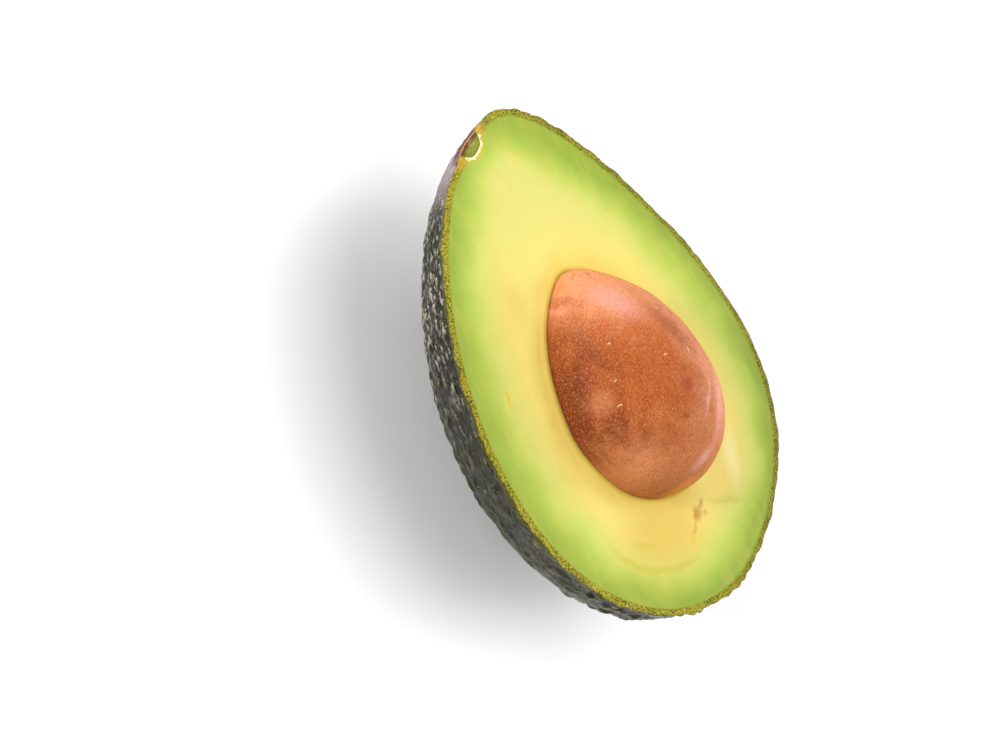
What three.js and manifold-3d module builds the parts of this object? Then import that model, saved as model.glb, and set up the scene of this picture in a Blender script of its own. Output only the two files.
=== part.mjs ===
// Half of a ripe, rough-skinned avocado, cut lengthwise through the stem end, with its seed still in it.
// It lies on its back with the cut face up. Sizes are in millimetres: +X runs to the blossom end, -X to the
// stem end, -Y across the fruit to the side that the stem leans to, and +Z up out of the cut face.
import * as THREE from "three";
import { mergeVertices } from "three/addons/utils/BufferGeometryUtils.js";
import Module from "manifold-3d";

const wasm = await Module();
wasm.setup();

// The fruit. Each list holds the terms of a polynomial in the station u, which runs from -1 at the stem
// end to 1 at the blossom end.
const LENGTH = 98;
const SECTION_RADIUS = [32.3, 6.9, -2.4]; // at mid-length, its growth to the blossom end, its pinch at both
const LEAN = [-0.7, 3.6, -2.2, -4.1]; // how far each section's middle lies towards +Y
const SKIN_THICKNESS = 1.4;
const CLEARANCE = 0.3; // between pieces that touch

// The pebbles of the skin: domes in the cells of a jittered grid, longer along the fruit.
const PEBBLE_LENGTH = 7;
const PEBBLE_WIDTH = 5;
const PEBBLE_HEIGHT = 1.1;
const PEBBLE_LEVEL = 0.5; // the share of that height which lies below the smooth skin
const PEBBLE_SEED = 7;
const GROOVE_WIDTH = 0.6; // of a cell
const SMOOTH_RADIUS = 14; // round the stem, where the pebbles fade out

// The stem end: the pit that the stem button left, the corky ring round it and the dent that it sits in.
const STEM_STATION = -0.945;
const PIT_RADIUS = 5.1; // where the cone meets the smooth skin
const PIT_DEPTH = 4;
const PIT_SIDES = 24;
const PIT_LIP = 2; // how far the cutting cone stands out of the smooth skin
const SCAR_RADIUS = 5;
const SCAR_HEIGHT = 0.4;
const SCAR_WIDTH = 1.8;
const DENT_DEPTH = 1.5;
const DENT_RADIUS = 7;

// The seed: an egg with its point towards the stem, sunk to its middle in the flesh.
const SEED_LENGTH = 45.2;
const SEED_RADIUS = 15.4; // at mid-length
const SEED_TAPER = 0.16; // how much thinner the seed grows to its point, and thicker to its round end
const SEED_PINCH = 0.22; // how much of its thickness it loses besides at its very point
const SEED_TURN = 0.108; // radians about +Z
const SEED_CENTRE = new THREE.Vector3(5.2, 0.4, 0);

// The small flat spot that the half rests on, and how far round it the pebbles fade out.
const FLAT_SPOT_RISE = 0.5; // above the lowest point of the smooth skin
const FLAT_SPOT_RADIUS = 9;

// How many pieces each edge of an icosahedron is split into.
const SKIN_SPLITS = 29;
const LINING_SPLITS = 12;
const SEED_SPLITS = 10;

const UP = new THREE.Vector3(0, 0, 1);
const polynomial = (terms, u) => terms.reduceRight((sum, term) => sum * u + term, 0);
const bell = (distance, width) => Math.exp(-((distance / width) ** 2));

// The smooth fruit's surface in a direction of the unit sphere, whose x is the station.
function fruitPoint(direction) {
  const u = direction.x;
  const radius = polynomial(SECTION_RADIUS, u);
  const y = polynomial(LEAN, u) + radius * direction.y;
  return new THREE.Vector3((LENGTH / 2) * u, y, radius * direction.z);
}

// The outward normal there, from two small steps across the surface.
function fruitNormal(direction) {
  const step = 1e-3;
  const pole = new THREE.Vector3(0, 0, 1);
  if (Math.abs(direction.z) > 0.9) pole.set(0, 1, 0);
  const east = pole.cross(direction).normalize();
  const north = direction.clone().cross(east);
  const here = fruitPoint(direction);
  const [eastward, northward] = [east, north].map((way) =>
    fruitPoint(direction.clone().addScaledVector(way, step).normalize()).sub(here),
  );
  return eastward.cross(northward).normalize();
}

const STEM_DIRECTION = new THREE.Vector3(STEM_STATION, -Math.sqrt(1 - STEM_STATION ** 2), 0);
const STEM_POINT = fruitPoint(STEM_DIRECTION);
const STEM_AXIS = fruitNormal(STEM_DIRECTION);

// The lowest point of the smooth fruit, found station by station.
const STATIONS = Array.from({ length: 201 }, (_, i) => i / 100 - 1);
const UNDERSIDE = STATIONS.map((u) => fruitPoint(new THREE.Vector3(u, 0, -Math.sqrt(1 - u * u))));
const LOWEST_POINT = UNDERSIDE.reduce((lowest, point) => (point.z < lowest.z ? point : lowest));

// A repeatable draw between 0 and 1 for one cell of the grid.
function draw(i, j, k, which) {
  const mixed = Math.sin(i * 127.1 + j * 311.7 + k * 74.7 + which * 269.5 + PEBBLE_SEED) * 43758.5453;
  return mixed - Math.floor(mixed);
}

// How high the pebble under a point stands, from 0 in the grooves, which lie midway between the middles of
// two cells, to 1 on its top.
function pebble(point) {
  const q = [point.x / PEBBLE_LENGTH, point.y / PEBBLE_WIDTH, point.z / PEBBLE_WIDTH];
  const cell = q.map(Math.floor);
  let [nearest, second] = [Infinity, Infinity];
  for (let i = -1; i <= 1; i++)
    for (let j = -1; j <= 1; j++)
      for (let k = -1; k <= 1; k++) {
        const at = [cell[0] + i, cell[1] + j, cell[2] + k];
        const away = Math.hypot(...at.map((c, n) => c + draw(...at, n) - q[n]));
        [nearest, second] = [Math.min(nearest, away), Math.min(second, Math.max(nearest, away))];
      }
  const fromGroove = Math.min(1, (second - nearest) / GROOVE_WIDTH);
  return 1 - (1 - fromGroove) ** 2;
}

// How far the real skin stands out from the smooth fruit at a point of it.
function relief(point) {
  const fromStem = point.distanceTo(STEM_POINT);
  const atStem = bell(fromStem, SMOOTH_RADIUS);
  const atRest = bell(point.distanceTo(LOWEST_POINT), FLAT_SPOT_RADIUS);
  const pebbles = PEBBLE_HEIGHT * (pebble(point) - PEBBLE_LEVEL) * (1 - atStem) * (1 - atRest);
  return pebbles + SCAR_HEIGHT * bell(fromStem - SCAR_RADIUS, SCAR_WIDTH);
}

// The dent draws the skin and the flesh under it in alike.
const dent = (point) => DENT_DEPTH * bell(point.distanceTo(STEM_POINT), DENT_RADIUS);

// A geometry as a solid that can be cut and joined.
function solid(geometry) {
  const bare = geometry.clone();
  bare.deleteAttribute("normal");
  bare.deleteAttribute("uv");
  const merged = mergeVertices(bare, 1e-4);
  const mesh = new wasm.Mesh({
    numProp: 3,
    vertProperties: new Float32Array(merged.attributes.position.array),
    triVerts: new Uint32Array(merged.index.array),
  });
  return new wasm.Manifold(mesh);
}

// A closed surface made by sending each direction of a split icosahedron to its place.
function blob(splits, place) {
  const geometry = new THREE.IcosahedronGeometry(1, splits - 1);
  const position = geometry.attributes.position;
  const direction = new THREE.Vector3();
  for (let i = 0; i < position.count; i++) {
    direction.fromBufferAttribute(position, i).normalize();
    position.setXYZ(i, ...place(direction));
  }
  return solid(geometry);
}

// The whole fruit, drawn in from the smooth skin by an inset, with or without the relief.
function fruit(splits, inset, rough) {
  return blob(splits, (direction) => {
    const point = fruitPoint(direction);
    const outwards = (rough ? relief(point) : 0) - inset - dent(point);
    return point.addScaledVector(fruitNormal(direction), outwards);
  });
}

// The seed, grown on all sides by a margin.
function seed(margin) {
  return blob(SEED_SPLITS, (direction) => {
    const u = direction.x;
    const pinch = 1 - SEED_PINCH * Math.max(-u, 0) ** 4;
    const radius = SEED_RADIUS * (1 + SEED_TAPER * u) * pinch + margin;
    const x = (SEED_LENGTH / 2 + margin) * u;
    const point = new THREE.Vector3(x, radius * direction.y, radius * direction.z);
    return point.applyAxisAngle(UP, SEED_TURN).add(SEED_CENTRE);
  });
}

// A block between two heights, wide enough to cut the whole fruit.
function block(bottom, top) {
  const geometry = new THREE.BoxGeometry(2 * LENGTH, 2 * LENGTH, top - bottom);
  return solid(geometry.translate(0, 0, (bottom + top) / 2));
}

// The cone that cuts the pit, made with its tip along +Y and turned to point into the fruit.
function pit() {
  const height = PIT_DEPTH + PIT_LIP;
  const geometry = new THREE.ConeGeometry((PIT_RADIUS * height) / PIT_DEPTH, height, PIT_SIDES);
  geometry.translate(0, PIT_DEPTH - height / 2, 0);
  const turn = new THREE.Quaternion();
  turn.setFromUnitVectors(new THREE.Vector3(0, 1, 0), STEM_AXIS.clone().negate());
  return solid(geometry.applyQuaternion(turn).translate(...STEM_POINT));
}

const aboveCut = block(0, LENGTH);
const belowRest = block(-LENGTH, LOWEST_POINT.z + FLAT_SPOT_RISE);
const stemPit = pit();

const skinSolid = fruit(SKIN_SPLITS, 0, true)
  .subtract(fruit(LINING_SPLITS, SKIN_THICKNESS, false))
  .subtract(aboveCut)
  .subtract(belowRest)
  .subtract(stemPit);
const fleshSolid = fruit(LINING_SPLITS, SKIN_THICKNESS + CLEARANCE, false)
  .subtract(aboveCut)
  .subtract(seed(CLEARANCE))
  .subtract(stemPit);

// A solid as a named mesh in its own finish.
function piece(name, made, color, roughness) {
  const { vertProperties, triVerts } = made.getMesh();
  const geometry = new THREE.BufferGeometry();
  geometry.setAttribute("position", new THREE.BufferAttribute(vertProperties, 3));
  geometry.setIndex(new THREE.BufferAttribute(triVerts, 1));
  geometry.computeVertexNormals();
  const material = new THREE.MeshStandardMaterial({ color, roughness, metalness: 0 });
  const mesh = new THREE.Mesh(geometry, material);
  mesh.name = name;
  return mesh;
}

const avocado = new THREE.Group();
avocado.add(
  piece("skin", skinSolid, 0x2f2f22, 0.4),
  piece("flesh", fleshSolid, 0xd9dd78, 0.5),
  piece("seed", seed(0), 0xb5652f, 0.55),
);

// The frame's origin is on the resting plane, below the middle of the fruit's outline.
const extent = new THREE.Box3().setFromObject(avocado);
const middle = extent.getCenter(new THREE.Vector3());
avocado.position.set(-middle.x, -middle.y, -extent.min.z);

export default avocado;
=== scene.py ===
"""Half of a ripe, rough-skinned avocado, cut lengthwise through the stem end, with its seed in place.

The half lies on its back with the cut face up: -X to the stem end, +X to the blossom end. Lengths are in
metres. Each piece replaces the solid of the same name in the frame and repeats its shape more finely.
"""

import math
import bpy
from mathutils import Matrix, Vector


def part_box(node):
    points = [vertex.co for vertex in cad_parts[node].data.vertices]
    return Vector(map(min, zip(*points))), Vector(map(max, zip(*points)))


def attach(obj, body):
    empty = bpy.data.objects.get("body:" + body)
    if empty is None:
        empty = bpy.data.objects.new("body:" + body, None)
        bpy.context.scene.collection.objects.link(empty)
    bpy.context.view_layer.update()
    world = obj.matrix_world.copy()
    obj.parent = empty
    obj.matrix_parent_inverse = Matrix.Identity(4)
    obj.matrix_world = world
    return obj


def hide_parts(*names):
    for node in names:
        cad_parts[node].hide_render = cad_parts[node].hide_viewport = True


bl_info = {
    "name": "Avocado half",
    "version": (1, 0, 0),
    "blender": (4, 5, 0),
    "location": "3D View > Sidebar > Avocado",
    "description": "Builds half of an avocado with its pebbled skin, its flesh and its seed",
    "category": "Add Mesh",
}

import bmesh
import bpy
import numpy as np
from bpy.props import FloatProperty, FloatVectorProperty, PointerProperty
from bpy.types import Operator, Panel, PropertyGroup
from mathutils import Matrix, Vector, noise

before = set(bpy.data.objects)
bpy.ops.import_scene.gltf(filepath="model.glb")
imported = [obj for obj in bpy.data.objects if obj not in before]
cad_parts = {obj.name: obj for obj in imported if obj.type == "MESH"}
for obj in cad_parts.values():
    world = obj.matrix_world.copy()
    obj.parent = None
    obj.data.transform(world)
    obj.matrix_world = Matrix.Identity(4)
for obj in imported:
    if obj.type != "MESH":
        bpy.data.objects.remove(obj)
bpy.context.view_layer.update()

MM = 0.001

# The fruit, with terms in the station u, from -1 at the stem end to 1 at the blossom end.
HALF_LENGTH = 49 * MM
SECTION_RADIUS = np.array((32.3, 6.9, -2.4)) * MM
LEAN = np.array((-0.7, 3.6, -2.2, -4.1)) * MM

# The stem end.
STEM_STATION = -0.945
PIT_RADIUS = 3.5 * MM
PIT_DEPTH = 3.2 * MM
PIT_SKIN = 0.3 * MM
PIT_SKIN_SPAN = (0.8 * PIT_RADIUS, 1.05 * PIT_RADIUS)
PIT_SOFTNESS = 0.35 * MM
PIT_FLATNESS = 4
PIT_WALL_RADIUS = 0.85 * PIT_RADIUS
NEAR_PIT = 2 * PIT_RADIUS
SCAR_RADIUS = 3.9 * MM
SCAR_HEIGHT = 0.3 * MM
SCAR_WIDTH = 0.9 * MM
SCAR_GRAIN = 0.8
SCAR_GRAIN_SIZE = 1.2 * MM
DENT_DEPTH = 1.5 * MM
DENT_RADIUS = 7 * MM
SMOOTH_RADIUS = 13 * MM
WRINKLES = 34
WRINKLE_HEIGHT = 0.09 * MM
WRINKLE_REACH = 9 * MM
WRINKLE_WIDTH = 0.4 * WRINKLE_REACH
WRINKLE_WOBBLE = 5
WRINKLE_WOBBLE_SIZE = 3 * MM

# The cells of the pebbles, in shares of a cell: how far and how fast they are warped, how high a pebble is on
# average and by how much that varies, how far a pebble and a groove reach, and where the smooth skin lies.
PEBBLE_SEED = 7
CELL_WARP = 0.5
CELL_WARP_PACE = 0.8
PEBBLE_STRENGTH = 0.95
PEBBLE_VARIETY = 0.7
VARIETY_PACE = 3.1
PEBBLE_REACH = 0.62
GROOVE_REACH = 0.3
PEBBLE_LEVEL = 0.3

# The rest of the skin's relief: its slow and its fine bumps, how much smoother it grows to the far side and
# how far out that is, and how it draws in just below the cut.
UNDULATION_SIZE = 9 * MM
FINE_RELIEF = 0.07 * MM
FINE_SIZE = 1.1 * MM
SMOOTH_SIDE = 0.4
SMOOTH_SIDE_REACH = 20 * MM
TUCK = 0.25 * MM
TUCK_REACH = 2.5 * MM

# The grains of the cut rim, fine and coarse.
GRAIN_SIZE = 0.45 * MM
COARSE_GRAIN_SIZE = 1.1 * MM
COARSE_GRAIN = 0.6

# Where the outline departs from the smooth terms: how far in, at which angle and over what width in degrees.
# It does so near the cut only, down to about the reach.
OUTLINE_TRIMS = ((1.45 * MM, -27, 25), (-0.75 * MM, 17, 15), (0.65 * MM, 98, 45))
TRIM_REACH = 5 * MM

# The seed: an egg with its point towards the stem.
SEED_HALF_LENGTH = 22.6 * MM
SEED_RADIUS = 15.4 * MM
SEED_TAPER = 0.16
SEED_PINCH = 0.22
SEED_TURN = 0.108
SEED_CENTRE = np.array((5.2, 0.4, 0)) * MM
SEED_LUMPS = ((1, 11 * MM), (0.3, 4 * MM), (0.08, MM))
SEED_LUMP_LEVEL = 0.5

# The cut face: waves and ripples of the knife, and the soft lip at the seed with the dip at its edge.
WAVE_HEIGHT = 0.1 * MM
WAVE_SIZE = 7 * MM
WAVE_STRETCH = (0.4, 1, 1)
RIPPLE_HEIGHT = 0.03 * MM
RIPPLE_SIZE = 2 * MM
WAVES_START = 1.4 * MM
WAVES_FADE = 2 * MM
LIP_HEIGHT = 0.18 * MM
LIP_WIDTH = 0.9 * MM
DIP_DEPTH = 0.1 * MM
DIP_WIDTH = 0.2 * MM
FLESH_GAP = 0.03 * MM

# How finely the meshes are divided.
SKIN_SUBDIVISIONS = 8
LINING_RINGS = 16
LINING_CROWDING = 2
SEED_SUBDIVISIONS = 7
RIM_SHARES = (0.07, 0.24, 0.42, 0.6, 0.78, 0.96, 1.0)
FLESH_SEGMENTS = 512
STEM_CROWDING = 0.7
FACE_RINGS = 44
EDGE_SHARE = 0.005
WALL_RINGS = 30
WALL_CROWDING = 1.8
WALL_GAP = 0.2 * MM
HOLLOW_RINGS = 22
OUTLINE_STEPS = 720
FINE_OUTLINE_STEPS = 3600


def srgb(red, green, blue):
    """A colour by its screen values from 0 to 255, as the linear values that shaders take."""
    shares = (value / 255 for value in (red, green, blue))
    return tuple(s / 12.92 if s < 0.04 else ((s + 0.055) / 1.055) ** 2.4 for s in shares)


def colour_property(name, description, screen):
    """A colour that a user may change, with its default in screen values."""
    return FloatVectorProperty(
        name=name, description=description, default=srgb(*screen), subtype="COLOR", size=3, min=0, max=1
    )


def length_property(name, description, millimetres):
    """A length that a user may change, with its default in millimetres."""
    return FloatProperty(
        name=name, description=description, default=millimetres * MM, min=0, unit="LENGTH", precision=5
    )


class AvocadoShape(PropertyGroup):
    """Sizes that a user may change"""

    skin_thickness: length_property("Skin thickness", "From the smooth skin to the flesh", 1.4)
    pebble_length: length_property("Pebble length", "Of one pebble, along the fruit", 4.4)
    pebble_width: length_property("Pebble width", "Of one pebble, round the fruit", 2.5)
    pebble_height: length_property("Pebble height", "How far the pebbles' tops stand out", 0.45)
    groove_depth: length_property("Groove depth", "Of the fine grooves round the pebbles", 0.16)
    undulation: length_property("Undulation", "How far the skin rises and falls over several pebbles", 0.3)
    grain_height: length_property("Grain height", "Height of the grains in the cut edge of the skin", 0.12)
    seed_gap: length_property("Seed gap", "Between the seed and its hollow", 0.03)
    seed_lumps: length_property("Seed lumps", "How far the seed's surface rises and falls", 0.3)


class AvocadoColours(PropertyGroup):
    """Colours that a user may change"""

    pebble: colour_property("Pebble", "Tops of the pebbles", (50, 46, 24))
    # The groove colour also stands for painted shade: in the pebbles' grooves and in the gaps between the
    # streaks of bloom.
    groove: colour_property("Groove", "Grooves between the pebbles", (10, 13, 4))
    bronze: colour_property("Bronze", "Browner patches of the skin", (48, 40, 25))
    # Partly painted highlights: the bloom colour is partly the wax bloom's own paleness and partly stands for
    # glints of light on the ridges.
    bloom_and_glint: colour_property("Bloom", "Waxy bloom on the ridges of the skin", (176, 170, 158))
    satin: colour_property("Satin", "Smoother skin near the middle of the side", (54, 56, 34))
    lenticel: colour_property("Lenticel", "Pale dots and dashes on the skin", (146, 150, 84))
    # Partly painted sheen: the smooth skin round the stem is made lighter and lilac for its glossy reflection,
    # beside its own greyer tone.
    shoulder: colour_property("Shoulder", "Smooth skin round the stem", (134, 120, 122))
    scar: colour_property("Scar", "Corky ring round the stem pit", (84, 38, 30))
    pit_edge: colour_property("Pit edge", "Thin line on the mouth of the stem pit", (184, 130, 96))
    # Painted shade: the dark brown just under the mouth of the stem pit stands for the shadow of its lip.
    pit_mouth_shade: colour_property("Pit wall", "Inside of the stem pit, just under its mouth", (92, 62, 24))
    pit: colour_property("Pit", "Inside of the stem pit", (122, 126, 36))
    cut_edge: colour_property("Cut edge", "Skin a little below the cut", (76, 74, 10))
    rim_edge: colour_property("Rim edge", "Outer edge of the cut skin", (66, 66, 14))
    rim: colour_property("Rim", "Grainy layer of the cut skin", (152, 147, 30))
    rim_gold: colour_property("Rim gold", "Warmer patches of the cut skin", (178, 146, 34))
    rim_grain: colour_property("Rim grain", "Dark grains of the cut skin", (70, 72, 6))
    rim_light: colour_property("Rim light", "Bright grains of the cut skin", (198, 184, 64))
    # Also a painted highlight: the cream mark on the flesh beside the seed's round end, on the far side,
    # stands for a pool of light.
    cream: colour_property("Cream", "Cut edge of the stem pit", (250, 246, 190))
    green: colour_property("Green", "Flesh next to the skin", (146, 169, 44))
    green_edge: colour_property("Green edge", "Darker flesh next to the skin, far side", (120, 146, 44))
    fresh_green: colour_property("Fresh green", "Flesh just inside the green", (160, 184, 60))
    lime_green: colour_property("Lime green", "Flesh between green and lime", (184, 200, 80))
    lime: colour_property("Lime", "Flesh midway between green and yellow", (203, 209, 100))
    lime_yellow: colour_property("Lime yellow", "Flesh between lime and yellow", (217, 211, 106))
    yellow: colour_property("Yellow", "Flesh round the seed", (234, 214, 112))
    inner_yellow: colour_property("Inner yellow", "Flesh deepest below the skin", (235, 218, 116))
    pale: colour_property("Pale", "Paler flesh towards the stem", (216, 213, 118))
    cloud: colour_property("Cloud", "Faint warm clouds in the flesh", (226, 206, 92))
    strand: colour_property("Strand", "Faint pale strands in the flesh", (236, 232, 150))
    # Also used as painted shade along the seed's edge.
    vein: colour_property("Vein", "Darker lines in the flesh", (200, 188, 66))
    dash: colour_property("Dash", "Small orange marks on the flesh", (230, 182, 54))
    bruise: colour_property("Bruise", "Small brown marks on the flesh", (192, 138, 38))
    # Partly painted shade: this warm, darker colour stands for the contact shade round the seed and the dimmer
    # flesh at the blossom end.
    glow_and_shade: colour_property("Glow", "Warmer flesh round the seed", (218, 188, 80))
    seed: colour_property("Seed", "Main colour of the seed", (176, 88, 32))
    # Partly painted shade: the near side of the seed is made browner and darker where it gets less light.
    seed_shaded_side: colour_property("Seed side", "Browner side of the seed", (116, 50, 12))
    seed_low: colour_property("Seed low", "Round end of the seed", (206, 126, 74))
    # Also painted light: the seed's far side and a large patch beside its middle are made paler where more
    # light falls.
    seed_light: colour_property("Seed light", "Paler parts of the seed", (231, 150, 104))
    # Partly painted sheen: the pale lilac patches near the point and along the far side stand for the light's
    # sheen on the coat, beside its thin film.
    seed_film_and_sheen: colour_property("Seed film", "Thin lilac film near the seed's point", (230, 158, 142))
    seed_glow: colour_property("Seed glow", "Orange edge at the seed's round end", (236, 146, 44))
    seed_dark: colour_property("Seed dark", "Reddish flecks on the seed", (134, 42, 18))
    seed_speck: colour_property("Seed speck", "Pale specks on the seed", (255, 226, 190))
    floor: colour_property("Floor", "Floor that the half lies on", (250, 250, 250))


def polynomial(terms, u):
    return sum(term * u**power for power, term in enumerate(terms))


def bell(distance, width):
    return np.exp(-((distance / width) ** 2))


def smoothstep(low, high, value):
    share = np.clip((value - low) / (high - low), 0, 1)
    return share * share * (3 - 2 * share)


def soft_max(a, b, softness):
    overlap = np.maximum(softness - np.abs(a - b), 0)
    return np.maximum(a, b) + overlap**2 / (4 * softness)


def fruit_points(directions):
    """The smooth fruit's surface in directions of the unit sphere, whose x is the station."""
    u = directions[:, 0]
    radius = polynomial(SECTION_RADIUS, u)
    y = polynomial(LEAN, u) + radius * directions[:, 1]
    angle = np.degrees(np.arctan2(directions[:, 1], u))
    trim = sum(depth * bell(angle - middle, width) for depth, middle, width in OUTLINE_TRIMS)
    trim *= bell(radius * directions[:, 2], TRIM_REACH)
    x = HALF_LENGTH * u - trim * u
    y -= trim * directions[:, 1]
    return np.column_stack((x, y, radius * directions[:, 2]))


def fruit_normals(directions):
    """The outward normals there, from two small steps across the surface."""
    pole = np.where(np.abs(directions[:, 2:]) > 0.9, (0, 1, 0), (0, 0, 1))
    east = np.cross(pole, directions)
    east /= np.linalg.norm(east, axis=1)[:, None]
    north = np.cross(directions, east)
    here = fruit_points(directions)
    steps = []
    for way in (east, north):
        ahead = directions + 1e-3 * way
        steps.append(fruit_points(ahead / np.linalg.norm(ahead, axis=1)[:, None]) - here)
    normals = np.cross(*steps)
    return normals / np.linalg.norm(normals, axis=1)[:, None]


STEM_DIRECTION = np.array(((STEM_STATION, -math.sqrt(1 - STEM_STATION**2), 0),))
STEM_POINT = fruit_points(STEM_DIRECTION)[0]
STEM_AXIS = fruit_normals(STEM_DIRECTION)[0]
STEM_SIDE = np.cross((0, 0, 1), STEM_AXIS)


def stem_frame(points):
    """Each point's distance from the stem's axis, height along it and angle round it."""
    away = points - STEM_POINT
    height = away @ STEM_AXIS
    flat = away - height[:, None] * STEM_AXIS
    return np.linalg.norm(flat, axis=1), height, np.arctan2(flat @ STEM_SIDE, flat[:, 2])


def stem_depth(points):
    """How deep the stem's dent and pit lie below the smooth skin."""
    radius, height, _ = stem_frame(points)
    distance = np.linalg.norm(points - STEM_POINT, axis=1)
    dent = DENT_DEPTH * bell(distance, DENT_RADIUS)
    bowl = height + PIT_DEPTH * (1 - (radius / PIT_RADIUS) ** PIT_FLATNESS)
    return soft_max(dent, np.where(distance < NEAR_PIT, bowl, -PIT_DEPTH), PIT_SOFTNESS)


def skin_depth(points, thickness):
    """The skin's thickness, which is only a film inside the stem pit."""
    radius, _, _ = stem_frame(points)
    near = np.linalg.norm(points - STEM_POINT, axis=1) < NEAR_PIT
    film = near * (1 - smoothstep(*PIT_SKIN_SPAN, radius))
    return thickness + (PIT_SKIN - thickness) * film


def inner_points(directions, thickness):
    """The surface where skin and flesh meet."""
    points = fruit_points(directions)
    depth = stem_depth(points) + skin_depth(points, thickness)
    return points - depth[:, None] * fruit_normals(directions)


def pebbles(points, shape):
    """How far each point lies up a pebble, from 0 at its foot to 1 on its top, and out of the grooves."""
    stretch = np.array((1 / shape.pebble_length, 1 / shape.pebble_width, 1 / shape.pebble_width))
    crests, plates = [], []
    noise.seed_set(PEBBLE_SEED)
    for point in points * stretch:
        q = Vector(point)
        q += CELL_WARP * noise.noise_vector(CELL_WARP_PACE * q)
        (nearest, second, *_), middles = noise.voronoi(q)
        strength = PEBBLE_STRENGTH + PEBBLE_VARIETY * noise.noise(VARIETY_PACE * middles[0])
        crests.append(strength * max(0, 1 - nearest / PEBBLE_REACH))
        plates.append(min(1, (second - nearest) / GROOVE_REACH))
    crests = np.minimum(crests, 1)
    return crests * crests * (3 - 2 * crests), np.array(plates)


def noise_field(points, size):
    """Smooth noise of about -1 to 1 whose bumps are of the given size."""
    return np.array([noise.noise(Vector(point)) for point in points / size])


def outer_points(directions, shape):
    """The pebbled skin with its stem scar, how far up a pebble each point lies, and how deep in a groove."""
    points = fruit_points(directions)
    radius, _, angle = stem_frame(points)
    distance = np.linalg.norm(points - STEM_POINT, axis=1)
    crests, plates = pebbles(points, shape)
    rough = 1 - bell(distance, SMOOTH_RADIUS)
    rough *= 1 - SMOOTH_SIDE * smoothstep(0, SMOOTH_SIDE_REACH, points[:, 1])
    relief = shape.pebble_height * (crests - PEBBLE_LEVEL) - shape.groove_depth * (1 - plates) ** 2
    relief += shape.undulation * noise_field(points, UNDULATION_SIZE)
    relief += FINE_RELIEF * noise_field(points, FINE_SIZE)
    relief *= rough
    wobble = WRINKLE_WOBBLE * noise_field(points, WRINKLE_WOBBLE_SIZE)
    wrinkles = np.sin(WRINKLES * angle + wobble) * bell(distance - WRINKLE_REACH, WRINKLE_WIDTH)
    relief += WRINKLE_HEIGHT * wrinkles
    ring = bell(radius - SCAR_RADIUS, SCAR_WIDTH) * (distance < NEAR_PIT)
    relief += SCAR_HEIGHT * ring * (1 + SCAR_GRAIN * noise_field(points, SCAR_GRAIN_SIZE))
    relief -= TUCK * smoothstep(0, TUCK_REACH, -points[:, 2])
    moved = points + (relief - stem_depth(points))[:, None] * fruit_normals(directions)
    return moved, crests * rough, (1 - plates) * rough


def seed_points(directions):
    """The smooth seed's surface in directions of the unit sphere."""
    u = directions[:, 0]
    pinch = 1 - SEED_PINCH * np.maximum(-u, 0) ** 4
    radius = SEED_RADIUS * (1 + SEED_TAPER * u) * pinch
    x = SEED_HALF_LENGTH * u
    y = radius * directions[:, 1]
    turned_x = x * math.cos(SEED_TURN) - y * math.sin(SEED_TURN)
    turned_y = x * math.sin(SEED_TURN) + y * math.cos(SEED_TURN)
    return np.column_stack((turned_x, turned_y, radius * directions[:, 2])) + SEED_CENTRE


def lumpy_seed(directions, shape, margin=0.0):
    """The seed's real surface, with slow lumps, grown by a margin."""
    points = seed_points(directions)
    lumps = sum(share * noise_field(points, size) for share, size in SEED_LUMPS)
    outwards = points - SEED_CENTRE
    outwards /= np.linalg.norm(outwards, axis=1)[:, None]
    return points + (shape.seed_lumps * (lumps - SEED_LUMP_LEVEL) + margin)[:, None] * outwards


def ring_directions(angles, dip=0.0):
    """Directions at angles round the cut plane, dipping below it."""
    level = math.cos(dip)
    return np.column_stack(
        (level * np.cos(angles), level * np.sin(angles), np.full(len(angles), -math.sin(dip)))
    )


def fruit_origin():
    """Where the fruit's own middle lies in the frame, read from the seed, which has no relief."""
    low, high = (np.array(corner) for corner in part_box("seed"))
    outline = seed_points(ring_directions(np.linspace(0, math.tau, FINE_OUTLINE_STEPS)))
    middle = (outline.min(axis=0) + outline.max(axis=0)) / 2
    return (low + high) / 2 - middle


ORIGIN = fruit_origin()
CUT_HEIGHT = ORIGIN[2]


def positions(verts):
    return np.array([vert.co[:] for vert in verts])


def move(verts, points):
    """Puts vertices at points given from the fruit's own middle."""
    for vert, point in zip(verts, points + ORIGIN):
        vert.co = point


def half_sphere(bm, subdivisions):
    """Adds the lower half of a unit icosphere, whose edges run along the equator."""
    verts = bmesh.ops.create_icosphere(bm, subdivisions=subdivisions, radius=1)["verts"]
    edges = {edge for vert in verts for edge in vert.link_edges}
    faces = {face for vert in verts for face in vert.link_faces}
    bmesh.ops.bisect_plane(
        bm,
        geom=[*verts, *edges, *faces],
        dist=1e-5,
        plane_co=(0, 0, 0),
        plane_no=(0, 0, 1),
        clear_outer=True,
    )
    return [vert for vert in verts if vert.is_valid]


def extrude_ring(bm, edges, material=0):
    """Extrudes an open loop of edges, and returns the new loop's edges and vertices."""
    grown = bmesh.ops.extrude_edge_only(bm, edges=edges)["geom"]
    new_edges = [part for part in grown if isinstance(part, bmesh.types.BMEdge)]
    new_verts = [part for part in grown if isinstance(part, bmesh.types.BMVert)]
    for part in grown:
        if isinstance(part, bmesh.types.BMFace):
            part.material_index = material
    return new_edges, new_verts


def close_ring(bm, edges):
    """Closes a ring with a fan of faces round its middle."""
    filled = bmesh.ops.holes_fill(bm, edges=edges, sides=0)["faces"]
    bmesh.ops.poke(bm, faces=filled)


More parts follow.
